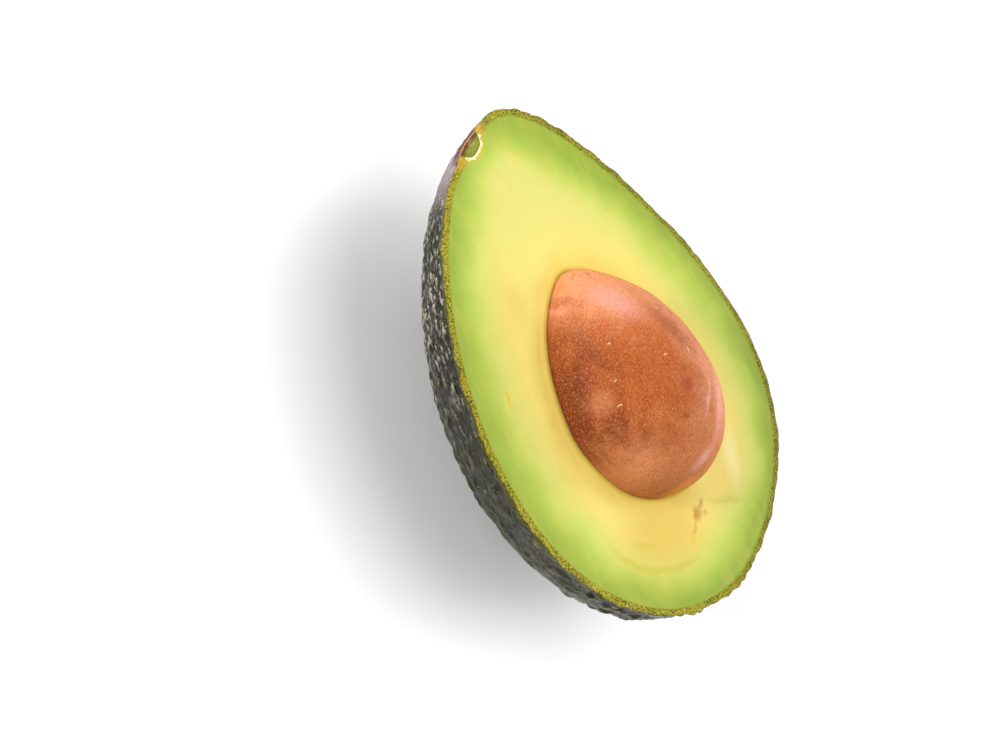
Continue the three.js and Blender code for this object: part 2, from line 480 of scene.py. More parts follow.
def finish_piece(name, bm, node, materials):
    """Makes the finished piece from its bmesh, in place of a solid of the frame."""
    bmesh.ops.recalc_face_normals(bm, faces=bm.faces[:])
    mesh = bpy.data.meshes.new(name)
    bm.to_mesh(mesh)
    bm.free()
    mesh.shade_smooth()
    for material in materials:
        mesh.materials.append(material)
    piece = bpy.data.objects.new(name, mesh)
    bpy.context.scene.collection.objects.link(piece)
    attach(piece, "root")
    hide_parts(node)
    return piece


def build_skin(shape, colours):
    """The pebbled skin as a closed bowl: its outside, its cut rim and its lining."""
    bm = bmesh.new()
    names = ("crest", "groove", "stem", "pit", "layer", "angle")
    crest, groove, stem, pit, layer, angle = (bm.verts.layers.float.new(name) for name in names)

    outer = half_sphere(bm, SKIN_SUBDIVISIONS)
    directions = positions(outer)
    points, crests, grooves = outer_points(directions, shape)
    points[:, 2] = np.maximum(points[:, 2], -CUT_HEIGHT)
    smooth = fruit_points(directions)
    distances = np.linalg.norm(smooth - STEM_POINT, axis=1)
    below_dent = stem_depth(smooth) - DENT_DEPTH * bell(distances, DENT_RADIUS)
    for i, vert in enumerate(outer):
        vert[crest] = crests[i]
        vert[groove] = grooves[i]
        vert[stem] = distances[i] / MM
        vert[pit] = below_dent[i] / MM
        vert[angle] = math.atan2(directions[i, 1], directions[i, 0])
    move(outer, points)

    edges = [edge for edge in bm.edges if edge.is_boundary]
    for edge in edges:
        edge.smooth = False
    for share in RIM_SHARES:
        edges, verts = extrude_ring(bm, edges, material=1)
        flat = ring_directions(np.array([vert[angle] for vert in verts]))
        outside, _, _ = outer_points(flat, shape)
        rim = outside + share * (inner_points(flat, shape.skin_thickness) - outside)
        grain = noise_field(rim, GRAIN_SIZE) + COARSE_GRAIN * noise_field(rim + MM, COARSE_GRAIN_SIZE)
        rim[:, 2] += shape.grain_height * grain * math.sin(math.pi * share)
        for vert in verts:
            vert[layer] = share
        move(verts, rim)

    for ring in range(1, LINING_RINGS):
        edges, verts = extrude_ring(bm, edges, material=1)
        dip = math.pi / 2 * (ring / LINING_RINGS) ** LINING_CROWDING
        lower = ring_directions(np.array([vert[angle] for vert in verts]), dip)
        move(verts, inner_points(lower, shape.skin_thickness))
    close_ring(bm, edges)
    materials = (skin_material(colours), rim_material(colours))
    return finish_piece("avocado_skin", bm, "skin", materials)


def nearest_distance(points, line):
    """Each point's distance in the cut plane from the nearest point of a line."""
    nearest = np.full(len(points), np.inf)
    for x, y, _ in line:
        nearest = np.minimum(nearest, np.hypot(points[:, 0] - x, points[:, 1] - y))
    return nearest


def outline_distance(points):
    """Each point's distance in the cut plane from the outline of the skin."""
    return nearest_distance(points, fruit_points(ring_directions(np.linspace(0, math.tau, OUTLINE_STEPS))))


def pit_distance(points, inset):
    """Each point's distance in the cut plane from the stem pit's wall."""
    wall = inner_points(ring_directions(np.linspace(0, math.tau, FINE_OUTLINE_STEPS)), inset)
    radius, height, _ = stem_frame(wall)
    return nearest_distance(points, wall[(radius < PIT_WALL_RADIUS) & (height > -2 * PIT_DEPTH)])


def face_height(points, to_seed):
    """How high the cut face stands: slight waves of the knife, and a soft lip at the seed."""
    waves = WAVE_HEIGHT * noise_field(points * WAVE_STRETCH, WAVE_SIZE)
    waves += RIPPLE_HEIGHT * noise_field(points, RIPPLE_SIZE)
    waves *= smoothstep(0, WAVES_FADE, outline_distance(points) - WAVES_START)
    return waves + LIP_HEIGHT * bell(to_seed - LIP_WIDTH, LIP_WIDTH) - DIP_DEPTH * bell(to_seed, DIP_WIDTH)


def build_flesh(shape, colours):
    """The flesh as one body of rings: the cut face, the hollow for the seed and the wall in the skin."""
    bm = bmesh.new()
    names = ("depth", "pit", "seed", "angle")
    depth, to_pit, to_seed, angle = (bm.verts.layers.float.new(name) for name in names)
    inset = shape.skin_thickness + FLESH_GAP

    circle = bmesh.ops.create_circle(bm, cap_ends=False, segments=FLESH_SEGMENTS, radius=1)["verts"]
    stem_angle = math.atan2(STEM_DIRECTION[0, 1], STEM_DIRECTION[0, 0])
    for vert in circle:
        even = math.atan2(vert.co.y, vert.co.x)
        vert[angle] = stem_angle + even - STEM_CROWDING * math.sin(even)
    outline_edges = bm.edges[:]
    for edge in outline_edges:
        edge.smooth = False

    def place(verts, points):
        """Moves one ring and notes how far it lies from the skin and from the stem pit."""
        for vert, deep, far in zip(verts, outline_distance(points), pit_distance(points, inset)):
            vert[depth] = deep / MM
            vert[to_pit] = far / MM
        move(verts, points)

    angles = np.array([vert[angle] for vert in circle])
    place(circle, inner_points(ring_directions(angles), inset))

    edges = outline_edges
    inner_shares = np.linspace(0, 1, FACE_RINGS)[1:-1]
    for share in (EDGE_SHARE, *inner_shares, 1 - EDGE_SHARE, 1):
        edges, verts = extrude_ring(bm, edges)
        flat = ring_directions(np.array([vert[angle] for vert in verts]))
        start, end = inner_points(flat, inset), lumpy_seed(flat, shape, shape.seed_gap)
        points = start + (end - start) * share
        gaps = np.linalg.norm(end - points, axis=1)
        points[:, 2] += face_height(points, gaps)
        place(verts, points)
        for vert, gap in zip(verts, gaps):
            vert[to_seed] = gap / MM
    for ring in range(1, HOLLOW_RINGS):
        edges, verts = extrude_ring(bm, edges)
        dip = math.pi / 2 * ring / HOLLOW_RINGS
        lower = ring_directions(np.array([vert[angle] for vert in verts]), dip)
        place(verts, lumpy_seed(lower, shape, shape.seed_gap))
        for vert in verts:
            vert[to_seed] = 0
    close_ring(bm, edges)

    edges = outline_edges
    for ring in range(1, WALL_RINGS):
        edges, verts = extrude_ring(bm, edges)
        dip = math.pi / 2 * (ring / WALL_RINGS) ** WALL_CROWDING
        lower = ring_directions(np.array([vert[angle] for vert in verts]), dip)
        place(verts, inner_points(lower, inset + WALL_GAP * math.sin(dip)))
    close_ring(bm, edges)
    return finish_piece("avocado_flesh", bm, "flesh", (flesh_material(colours),))


def build_seed(shape, colours):
    """The seed, with its slow lumps and fine unevenness."""
    bm = bmesh.new()
    verts = bmesh.ops.create_icosphere(bm, subdivisions=SEED_SUBDIVISIONS, radius=1)["verts"]
    move(verts, lumpy_seed(positions(verts), shape))
    return finish_piece("avocado_seed", bm, "seed", (seed_material(colours),))


def add_node(tree, kind, inputs=None, **settings):
    """Adds a shader node with its settings, and its inputs as values or as links to outputs."""
    made = tree.nodes.new(kind)
    for name, value in settings.items():
        setattr(made, name, value)
    for socket, value in (inputs or {}).items():
        if isinstance(value, bpy.types.NodeSocket):
            tree.links.new(value, made.inputs[socket])
        else:
            made.inputs[socket].default_value = value
    return made


def attribute(tree, name):
    return add_node(tree, "ShaderNodeAttribute", attribute_name=name).outputs["Fac"]


def object_place(tree, stretch=(1, 1, 1)):
    """The place on the object in millimetres, stretched along its axes."""
    place = add_node(tree, "ShaderNodeTexCoord").outputs["Object"]
    scale = tuple(1 / (MM * way) for way in stretch)
    return add_node(tree, "ShaderNodeMapping", {"Vector": place, "Scale": scale}).outputs["Vector"]


def noise_texture(tree, place, size, detail=2.0, roughness=0.5):
    """Noise from 0 to 1 whose bumps are of the given size in millimetres."""
    inputs = {"Vector": place, "Scale": 1 / size, "Detail": detail, "Roughness": roughness}
    return add_node(tree, "ShaderNodeTexNoise", inputs).outputs["Fac"]


def cell_texture(tree, place, size, feature="F1"):
    """Cells of the given size in millimetres: the distance from their middles, or from their edges."""
    inputs = {"Vector": place, "Scale": 1 / size}
    return add_node(tree, "ShaderNodeTexVoronoi", inputs, feature=feature).outputs["Distance"]


def fit(tree, value, low, high, bottom=0.0, top=1.0):
    """Takes low to bottom and high to top, smoothly and no further."""
    inputs = {"Value": value, "From Min": low, "From Max": high, "To Min": bottom, "To Max": top}
    made = add_node(tree, "ShaderNodeMapRange", inputs, interpolation_type="SMOOTHSTEP")
    return made.outputs["Result"]


def fit_linear(tree, value, low, high):
    """Takes low to 0 and high to 1, evenly and no further."""
    inputs = {"Value": value, "From Min": low, "From Max": high}
    return add_node(tree, "ShaderNodeMapRange", inputs).outputs["Result"]


def calculate(tree, operation, first, second=0.0):
    return add_node(tree, "ShaderNodeMath", {0: first, 1: second}, operation=operation).outputs[0]


def multiply(tree, first, second):
    return calculate(tree, "MULTIPLY", first, second)


def add(tree, first, second):
    return calculate(tree, "ADD", first, second)


def mix(tree, factor, under, over, blend="MIX"):
    """Mixes two colours, each a socket or a plain colour."""
    made = add_node(tree, "ShaderNodeMix", {"Factor": factor}, data_type="RGBA", blend_type=blend)
    for socket, value in ((6, under), (7, over)):
        if isinstance(value, bpy.types.NodeSocket):
            tree.links.new(value, made.inputs[socket])
        else:
            made.inputs[socket].default_value = (*value, 1)
    return made.outputs[2]


def ramp(tree, factor, stops):
    """Colours along a factor, from (place, colour) pairs."""
    made = add_node(tree, "ShaderNodeValToRGB", {"Fac": factor})
    elements = made.color_ramp.elements
    while len(elements) < len(stops):
        elements.new(1)
    for element, (place, colour) in zip(elements, stops):
        element.position = place
        element.color = (*colour, 1)
    return made.outputs["Color"]


def bump(tree, height, distance, normal=None):
    """A bump whose height runs over the given distance in millimetres, a number or an output."""
    inputs = {"Height": multiply(tree, height, distance), "Distance": MM, "Strength": 1.0}
    if normal is not None:
        inputs["Normal"] = normal
    return add_node(tree, "ShaderNodeBump", inputs).outputs["Normal"]


def new_material(name, shader_inputs):
    """A material and its tree, with a Principled shader that has the given values on its own sockets."""
    material = bpy.data.materials.new(name)
    material.use_nodes = True
    tree = material.node_tree
    tree.nodes.clear()
    shader = add_node(tree, "ShaderNodeBsdfPrincipled", shader_inputs)
    output = add_node(tree, "ShaderNodeOutputMaterial")
    tree.links.new(shader.outputs[0], output.inputs["Surface"])
    return material, tree, shader


def link(tree, shader, **sockets):
    """Links outputs to the shader's sockets, named with _ for a blank."""
    for name, output in sockets.items():
        tree.links.new(output, shader.inputs[name.replace("_", " ")])


# A scale that is so large that heights hardly count.
FLAT = 1000


def flat_distance(tree, place, middle, size=(1, 1), turn=0.0):
    """The distance on the cut face from a point, in millimetres or in shares of an ellipse's half size."""
    inputs = {"Vector": place, "Location": (*middle, 0), "Rotation": (0, 0, turn), "Scale": (*size, FLAT)}
    inside = add_node(tree, "ShaderNodeMapping", inputs, vector_type="TEXTURE").outputs["Vector"]
    return add_node(tree, "ShaderNodeVectorMath", {0: inside}, operation="LENGTH").outputs["Value"]


def spot(tree, place, middle, size, turn, softness):
    """A mask that is 1 inside an ellipse on the cut face, in millimetres from the frame's origin."""
    return fit(tree, flat_distance(tree, place, middle, size, turn), 1 - softness, 1, 1, 0)


# How far the edges of the small marks stray, in millimetres, and how softly they fade.
MARK_SHIFT = 1.5
MARK_SOFTNESS = 0.9


def paint_marks(tree, place, base, marks, colours):
    """Paints small marks with ragged edges over a colour."""
    shift = add_node(tree, "ShaderNodeTexNoise", {"Vector": place, "Scale": 0.7, "Detail": 3})
    inputs = {0: shift.outputs["Color"], 1: (0.5, 0.5, 0.5)}
    centred = add_node(tree, "ShaderNodeVectorMath", inputs, operation="SUBTRACT").outputs[0]
    inputs = {0: centred, 1: (MARK_SHIFT, MARK_SHIFT, 0), 2: place}
    ragged = add_node(tree, "ShaderNodeVectorMath", inputs, operation="MULTIPLY_ADD").outputs[0]
    broken = fit(tree, noise_texture(tree, place, 0.7, 3, 0.7), 0.3, 0.5, 0.6, 1)
    for colour, middle, size, turn, strength in marks:
        mask = multiply(tree, spot(tree, ragged, middle, size, turn, MARK_SOFTNESS), strength)
        base = mix(tree, multiply(tree, mask, broken), base, getattr(colours, colour))
    return base


# The skin's shine is a little yellow, like its wax.
SKIN_SHADER = {"Specular IOR Level": 0.25, "Specular Tint": (1, 0.93, 0.72, 1)}

# The skin's cells of lenticels and of plates, and where its colour changes below the cut, in millimetres.
LENTICEL_CELL = 1.5
PLATE_CELL = 3.4
CUT_EDGE_START = 1.4
CUT_EDGE_END = 0.6


def pebble_colour(tree, place, mottle, colours):
    """Pebbles in two browns, with dark grooves that are partly painted shade, darker mottling and pale
    lenticels.
    """
    patches = noise_texture(tree, place, 11, 3)
    base = mix(tree, fit(tree, patches, 0.4, 0.62), colours.pebble, colours.bronze)
    # Partly painted shade: the grooves between the pebbles are darkened, beside the skin's own darker colour
    # there.
    base = mix(tree, fit(tree, attribute(tree, "groove"), 0.2, 0.9, 0, 0.9), base, colours.groove)
    base = mix(tree, fit(tree, mottle, 0.35, 0.65, 0, 0.75), base, colours.groove)
    few = noise_texture(tree, place, 3.5)
    tops = multiply(tree, fit(tree, attribute(tree, "crest"), 0.45, 0.9), fit(tree, few, 0.45, 0.6))
    base = mix(tree, multiply(tree, tops, fit(tree, mottle, 0.3, 0.6)), base, colours.lenticel)
    dots = cell_texture(tree, object_place(tree, (2.2, 1, 1)), LENTICEL_CELL)
    dotted = calculate(tree, "SUBTRACT", fit(tree, dots, 0.1, 0.2, 1, 0), few)
    return mix(tree, fit(tree, dotted, 0.4, 0.55), base, colours.lenticel)


def wax_and_painted_glints(tree, base, along, streaks, colours):
    """Dark gaps and pale bloom in streaks at the stem half, on skin that is satin round the middle. The pale
    bloom is partly the wax's own paleness and partly painted highlights on the ridges; the dark gaps between
    them are painted shade.
    """
    # Painted shade in the dark gaps and painted highlights in the pale bloom, partly the wax bloom's own
    # paleness, strongest at the stem half.
    gaps = fit(tree, streaks, 0.47, 0.4, 0, fit(tree, along, 0, 20, 0.95, 0.25))
    base = mix(tree, gaps, base, colours.groove)
    satin = multiply(tree, fit(tree, along, -10, 12, 0, 0.5), fit(tree, along, 28, 44, 1, 0.1))
    base = mix(tree, satin, base, colours.satin)
    bloom_and_glint = fit(tree, streaks, 0.5, 0.62, 0, fit(tree, along, -24, 12, 0.75, 0.06))
    return mix(tree, bloom_and_glint, base, colours.bloom_and_glint)


def stem_colour(tree, base, flaws, colours):
    """The smooth skin round the stem, lighter and lilac as a painted sheen, the corky scar, and the pit from
    its mouth down, with painted shade just under its mouth.
    """
    wavy = add(tree, attribute(tree, "stem"), fit(tree, flaws, 0.3, 0.7, -0.6, 0.6))
    # Painted sheen: the smooth skin round the stem is lighter and lilac, partly its own greyer tone.
    base = mix(tree, fit(tree, wavy, 6, 16, 0.9, 0), base, colours.shoulder)
    base = mix(tree, fit(tree, wavy, 4.7, 5.6, 1, 0), base, colours.scar)
    flawed = fit(tree, flaws, 0.55, 0.6, 0, fit(tree, wavy, 5, 6.5, 0.6, 0))
    base = mix(tree, flawed, base, colours.groove)
    pit = attribute(tree, "pit")
    base = mix(tree, fit(tree, pit, 0.02, 0.08), base, colours.pit_edge)
    # Painted shade: dark brown just under the pit's mouth.
    base = mix(tree, fit(tree, pit, 0.12, 0.24), base, colours.pit_mouth_shade)
    return mix(tree, fit(tree, pit, 0.4, 1.1), base, colours.pit)


def skin_relief(tree, place, along, streaks, cracked, plated):
    """The skin's bumps: pitted streaks, slow waves, cracks and fine grain, most of them calmer at the stem."""
    calm = fit(tree, attribute(tree, "stem"), 4, 18, 0.2, 1)
    pitted = multiply(tree, calm, fit(tree, along, -10, 14, 1, 0.15))
    normal = bump(tree, multiply(tree, streaks, pitted), 0.9)
    coarse = noise_texture(tree, object_place(tree, (1.8, 1, 1)), 3.6, 1, 0.4)
    normal = bump(tree, multiply(tree, coarse, calm), 0.7, normal)
    normal = bump(tree, multiply(tree, fit(tree, cracked, 0, 0.16), plated), 0.25, normal)
    fine = noise_texture(tree, place, 0.4, 4, 0.6)
    return bump(tree, fine, fit(tree, along, -10, 20, 0.07, 0.035), normal)


def skin_material(colours):
    """Dark, pebbled skin with its wax, its cracked plates, its edge below the cut and the stem's scar."""
    material, tree, shader = new_material("avocado_skin", SKIN_SHADER)
    place = object_place(tree)
    along, _, up = add_node(tree, "ShaderNodeSeparateXYZ", {"Vector": place}).outputs
    mottle = noise_texture(tree, place, 0.7, 4, 0.7)
    flaws = noise_texture(tree, place, 1.3, 3)
    streaks = noise_texture(tree, object_place(tree, (2.4, 1, 1)), 1.0, 3, 0.65)
    streaks = add(tree, streaks, fit(tree, attribute(tree, "crest"), 0, 1, -0.03, 0.05))
    plates = cell_texture(tree, object_place(tree, (4, 1, 1)), PLATE_CELL, "DISTANCE_TO_EDGE")
    cracked = add(tree, plates, fit(tree, flaws, 0.3, 0.7, -0.03, 0.08))
    plated = multiply(tree, fit(tree, along, -16, 0), fit(tree, along, 18, 34, 1, 0.2))

    base = pebble_colour(tree, place, mottle, colours)
    base = wax_and_painted_glints(tree, base, along, streaks, colours)
    cracks = multiply(tree, fit(tree, cracked, 0.02, 0.09, 0.9, 0), plated)
    base = mix(tree, cracks, base, colours.groove)
    height = CUT_HEIGHT / MM
    near_cut = fit(tree, up, height - CUT_EDGE_START, height - CUT_EDGE_END, 0, 0.8)
    base = mix(tree, near_cut, base, colours.cut_edge)
    base = stem_colour(tree, base, flaws, colours)

    roughness = fit(tree, mottle, 0.35, 0.65, 0.18, fit(tree, along, -10, 20, 0.34, 0.4))
    normal = skin_relief(tree, place, along, streaks, cracked, plated)
    link(tree, shader, Base_Color=base, Roughness=roughness, Normal=normal)
    return material


RIM_SHADER = {
    "Roughness": 0.6,
    "Specular IOR Level": 0.2,
    "Subsurface Weight": 0.1,
    "Subsurface Scale": 0.5 * MM,
}


def rim_material(colours):
    """The skin's cut edge: a dark outer line, then a grainy olive layer, and the pit's colour at the stem."""
    material, tree, shader = new_material("avocado_rim", RIM_SHADER)
    place = object_place(tree)
    across = add_node(tree, "ShaderNodeSeparateXYZ", {"Vector": place}).outputs["Y"]
    grains = noise_texture(tree, place, 0.36, 3, 0.7)
    patches = noise_texture(tree, place, 3)
    stops = ((0.4, colours.rim_grain), (0.48, colours.rim), (0.52, colours.rim), (0.6, colours.rim_light))
    base = ramp(tree, add(tree, grains, fit(tree, patches, 0.3, 0.7, -0.04, 0.03)), stops)
    golden = fit(tree, noise_texture(tree, place, 1.6, 2), 0.5, 0.65, 0, 0.35)
    base = mix(tree, golden, base, colours.rim_gold)
    far = fit(tree, across, -12, 22)
    base = mix(tree, multiply(tree, far, 0.3), base, colours.rim_grain)
    layer = add(tree, attribute(tree, "layer"), fit(tree, grains, 0.3, 0.7, -0.1, 0.1))
    base = mix(tree, fit(tree, layer, -0.02, 0.14, 0.9, 0), base, colours.rim_edge)
    thinner = add(tree, layer, multiply(tree, far, 0.2))
    base = mix(tree, fit(tree, thinner, 0.86, 1.06), base, colours.green)
    at_pit = add(tree, attribute(tree, "stem"), fit(tree, grains, 0.3, 0.7, -0.3, 0.3))
    base = mix(tree, fit(tree, at_pit, 3.5, 7, 0.6, 0), base, colours.dash)
    base = mix(tree, fit(tree, at_pit, 2.9, 3.3, 1, 0), base, colours.pit)
    link(tree, shader, Base_Color=base, Normal=bump(tree, grains, 0.2))
    return material


FLESH_SHADER = {
    "Subsurface Weight": 0.3,
    "Subsurface Radius": (1.0, 0.8, 0.3),
    "Subsurface Scale": 0.8 * MM,
    "Specular IOR Level": 0.25,
}


# Small marks on the cut face: colour, middle and half size in millimetres, turn in radians, and strength.
FLESH_MARKS = (
    ("bruise", (32.7, 3.7), (1.9, 1.5), -0.6, 1.0),
    ("bruise", (31.3, 5.4), (1.5, 0.7), -0.8, 0.8),
    ("bruise", (33.2, 5.6), (1.0, 0.7), -0.2, 0.6),
    ("bruise", (34.8, 2.0), (2.0, 0.45), -0.62, 0.6),
    ("dash", (36.6, 0.2), (2.6, 0.8), -0.62, 0.6),
    ("vein", (32.8, -10.2), (4.0, 1.2), 1.14, 0.5),
    ("vein", (33.3, 11.6), (6.0, 1.1), 1.2, 0.6),
    # Painted highlight: a pale cream spot on the flesh beside the seed's round end, on the far side.
    ("cream", (26.5, 16.5), (9.0, 2.6), -0.3, 0.4),
    # Painted shade: a warm, darker patch by the seed's point on the near side.
    ("glow_and_shade", (-17.0, -14.5), (9.0, 4.0), 0.1, 0.3),
    ("dash", (-1.9, -24.1), (3.0, 0.55), -0.2, 1.0),
    ("vein", (-40.5, -0.5), (3.2, 0.4), 0.79, 0.5),
    ("dash", (-36.2, -5.2), (4.0, 0.6), 0.33, 0.25),
    ("green", (-33.6, 11.1), (4.0, 0.22), -0.95, 0.6),
)

# A painted pool of light that makes the flesh more yellow on the far side, and painted shade that makes it
# warmer and darker at the blossom end: middle, half size, turn, softness.
PAINTED_LIGHT_SPOT = ((26, 18), (16, 11), 0, 0.95)
WARM_SHADE_SPOT = ((32, -5), (13, 15), 0, 0.95)

# The warm glow round the seed, darker as a painted contact shade: from and to which distance in millimetres,
# and strength.
SEED_GLOW_AND_SHADE_RINGS = ((0, 6.5, 0.8), (0.5, 3.5, 0.5))

# The vein that shows as a darker arc at the blossom end, in millimetres.
ARC_CENTRE = (25.3, -3.0)
ARC_RADIUS = 14.6
ARC_WIDTH = 1.0

# The depth below the skin, in millimetres, at which the flesh is fully yellow.
YELLOW_DEPTH = 20


def flesh_depth(tree, place, along, across, drift):
    """The depth that sets the flesh's colour, less at both ends and more on the far side, where a painted pool
    of light pushes it towards yellow.
    """
    depth = add(tree, attribute(tree, "depth"), drift)
    at_stem = multiply(tree, fit(tree, along, -42, -14, 1.9, 0), fit(tree, across, -8, 2))
    depth = calculate(tree, "SUBTRACT", depth, at_stem)
    depth = calculate(tree, "SUBTRACT", depth, fit(tree, along, 28, 42, 0, 0.8))
    # Painted light: deeper, more yellow flesh in a spot on the far side.
    return add(tree, depth, multiply(tree, spot(tree, place, *PAINTED_LIGHT_SPOT), 2.6))


def green_edge(tree, base, depth, along, across, colours):
    """Darker green next to the skin, on the far side and at the blossom end."""
    edge = calculate(tree, "MAXIMUM", fit(tree, across, 12, 26), fit(tree, along, 30, 46))
    edge = multiply(tree, edge, fit(tree, depth, 1.8, 4.4, 0.45, 0))
    edge = multiply(tree, edge, fit(tree, along, 10, 26, 1, 0.4))
    return mix(tree, edge, base, colours.green_edge)


def warm_glow_and_shade(tree, place, base, along, across, drift, colours):
    """Warmer, darker flesh round the seed as a painted contact shade, most of all on its near side, and
    painted shade at the blossom end.
    """
    low_end = multiply(tree, fit(tree, along, 14, 24), fit(tree, across, 2, 10, 1, 0))
    side = calculate(tree, "MAXIMUM", fit(tree, across, -4, 4, 1, 0.1), low_end)
    side = calculate(tree, "MAXIMUM", side, fit(tree, along, -14, -6, 0.6, 0))
    to_seed = add(tree, attribute(tree, "seed"), drift)
    for start, end, strength in SEED_GLOW_AND_SHADE_RINGS:
        glow_and_shade = fit(tree, to_seed, start, end, multiply(tree, side, strength), 0)
        base = mix(tree, glow_and_shade, base, colours.glow_and_shade)
    return mix(tree, multiply(tree, spot(tree, place, *WARM_SHADE_SPOT), 0.9), base, colours.glow_and_shade)


def vein_arc(tree, place, along, across):
    """A mask for the vein that shows as a darker arc at the blossom end."""
    radius = flat_distance(tree, place, ARC_CENTRE)
    wavy = add(tree, radius, fit(tree, noise_texture(tree, place, 5, 2), 0.3, 0.7, -0.5, 0.5))
    off = calculate(tree, "ABSOLUTE", calculate(tree, "SUBTRACT", wavy, ARC_RADIUS))
    where = multiply(tree, fit(tree, along, 28, 34), fit(tree, across, -3, 2, 1, 0))
    return multiply(tree, fit(tree, off, 0, ARC_WIDTH, 0.85, 0), where)


def flesh_material(colours):
    """Flesh that runs from green at the skin through lime to yellow, with faint strands and marks."""
    material, tree, shader = new_material("avocado_flesh", FLESH_SHADER)
    place = object_place(tree)
    along, across, _ = add_node(tree, "ShaderNodeSeparateXYZ", {"Vector": place}).outputs
    drift = fit(tree, noise_texture(tree, place, 9, 3), 0.25, 0.75, -1, 1)
    depth = flesh_depth(tree, place, along, across, drift)
    stops = (
        (0.1, colours.green),
        (0.2, colours.fresh_green),
        (0.32, colours.lime_green),
        (0.42, colours.lime),
        (0.53, colours.lime_yellow),
        (0.68, colours.yellow),
        (1.0, colours.inner_yellow),
    )
    base = ramp(tree, fit_linear(tree, depth, 0, YELLOW_DEPTH), stops)
    base = green_edge(tree, base, depth, along, across, colours)
    pale = multiply(tree, fit(tree, along, -34, -14, 0.85, 0), fit(tree, depth, 6, 12))
    base = mix(tree, pale, base, colours.pale)
    base = warm_glow_and_shade(tree, place, base, along, across, drift, colours)
    base = mix(tree, vein_arc(tree, place, along, across), base, colours.vein)
    cloud = noise_texture(tree, object_place(tree, (3, 1, 1)), 3.2, 4, 0.6)
    base = mix(tree, fit(tree, cloud, 0.35, 0.7, 0, 0.16), base, colours.cloud)
    strands = noise_texture(tree, object_place(tree, (9, 0.6, 1)), 1.3, 2)
    base = mix(tree, fit(tree, strands, 0.5, 0.8, 0, 0.07), base, colours.strand)
    base = paint_marks(tree, place, base, FLESH_MARKS, colours)
    # Painted shade: a darker line in the flesh along the seed's edge.
    base = mix(tree, fit(tree, attribute(tree, "seed"), 0, 1.1, 0.5, 0), base, colours.vein)
    ragged = fit(tree, noise_texture(tree, place, 0.9, 3, 0.7), 0.3, 0.7, -0.3, 0.3)
    ragged = add(tree, attribute(tree, "pit"), ragged)
    base = mix(tree, fit(tree, ragged, 0.5, 1.3, 0.6, 0), base, colours.dash)
    base = mix(tree, fit(tree, ragged, 0.25, 0.55, 1, 0), base, colours.cream)
    normal = bump(tree, noise_texture(tree, place, 0.5, 2), 0.03)
    link(tree, shader, Base_Color=base, Roughness=fit(tree, cloud, 0.3, 0.7, 0.36, 0.5), Normal=normal)
    return material


# Marks on the seed, in the same way. The film patches are partly painted sheen. The last ones are specks of
# pale scurf.
SEED_MARKS = (
    ("seed_film_and_sheen", (-9.5, -1.2), (7.0, 4.2), 0.5, 0.8),
    ("seed_dark", (-12.9, -7.0), (3.0, 1.8), 0.6, 0.4),
    ("seed_film_and_sheen", (-12.0, -8.4), (1.5, 1.0), 0.4, 0.3),
    ("seed_dark", (-1.0, 5.2), (8.5, 2.8), 0.3, 0.5),
    ("seed_dark", (8.8, 1.4), (2.6, 1.8), 0.4, 0.5),
    ("seed_dark", (-1.1, -9.7), (1.8, 1.4), 0, 0.3),
    ("seed_dark", (1.2, -11.8), (2.4, 1.6), 0, 0.25),
    ("seed_dark", (7.7, -13.5), (1.0, 0.8), 0, 0.6),
    ("seed_light", (18.0, -9.0), (6.0, 4.0), 0.2, 0.5),
    ("seed_light", (5.5, -12.0), (3.5, 2.2), 0, 0.4),
    # Painted light: a large pale patch on the far side.
    ("seed_light", (14.0, 11.0), (12.0, 5.0), -0.5, 0.8),
    ("seed_film_and_sheen", (14.5, 8.8), (9.5, 1.7), -0.55, 1.0),
    ("seed_film_and_sheen", (12.6, 5.6), (5.0, 0.9), -0.7, 0.9),
    ("seed_film_and_sheen", (22.4, 1.8), (4.5, 1.6), -1.15, 1.0),
    ("seed_glow", (26.2, -1.2), (1.8, 5.0), 0.2, 0.9),
    ("seed_speck", (3.3, 5.9), (0.5, 0.22), -0.3, 0.9),
    ("seed_speck", (2.3, 0.3), (0.3, 0.35), 0, 0.9),
    ("seed_speck", (7.0, -10.2), (0.16, 0.4), 0.6, 0.8),
    ("seed_speck", (2.7, -9.2), (0.2, 0.4), 0.4, 0.7),
    ("seed_speck", (-3.5, -7.2), (0.25, 0.25), 0, 0.7),
    ("seed_speck", (11.6, -3.2), (0.2, 0.2), 0, 0.6),
)


